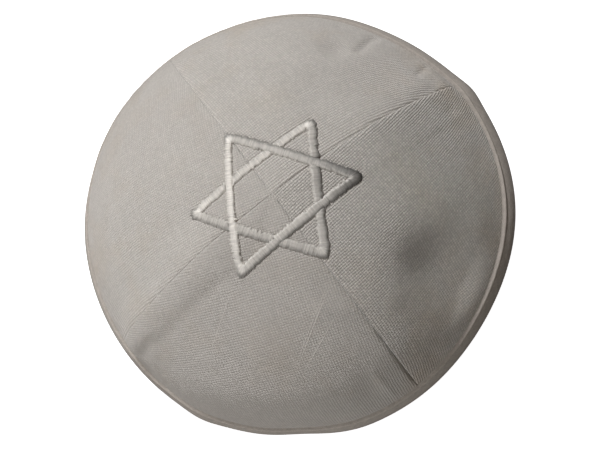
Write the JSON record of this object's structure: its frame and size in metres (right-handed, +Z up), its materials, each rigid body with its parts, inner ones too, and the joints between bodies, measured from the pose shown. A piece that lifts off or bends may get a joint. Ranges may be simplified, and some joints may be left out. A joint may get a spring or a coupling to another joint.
{
  "type": "kippah skullcap",
  "caption": "Shallow round cloth skullcap: four sewn linen panels, a folded binding round the rim and a six-pointed star in raised satin stitch.",
  "frame": {"origin": "centre of the cap's outline at the level of the rim's underside", "axes": "+Z up through the crown, +X along the right seam, +Y along the back seam and through one point of the star"},
  "size_m": [0.171, 0.17, 0.046],
  "materials": {
    "linen": "undyed grey-beige slubbed linen in plain weave, matt",
    "binding_tape": "folded tape of the same linen, matt, a little warmer",
    "satin_thread": "off-white embroidery thread in satin stitch, soft sheen across the column"
  },
  "bodies": {
    "root": {"panel_back_right": "linen", "panel_back_left": "linen", "panel_front_left": "linen", "panel_front_right": "linen", "rim_binding": "binding_tape", "star_over_triangle": "satin_thread", "star_under_tip_right": "satin_thread", "star_under_bar_right": "satin_thread", "star_under_tip_front": "satin_thread", "star_under_bar_front": "satin_thread", "star_under_tip_left": "satin_thread", "star_under_bar_left": "satin_thread"}
  },
  "joints": []
}
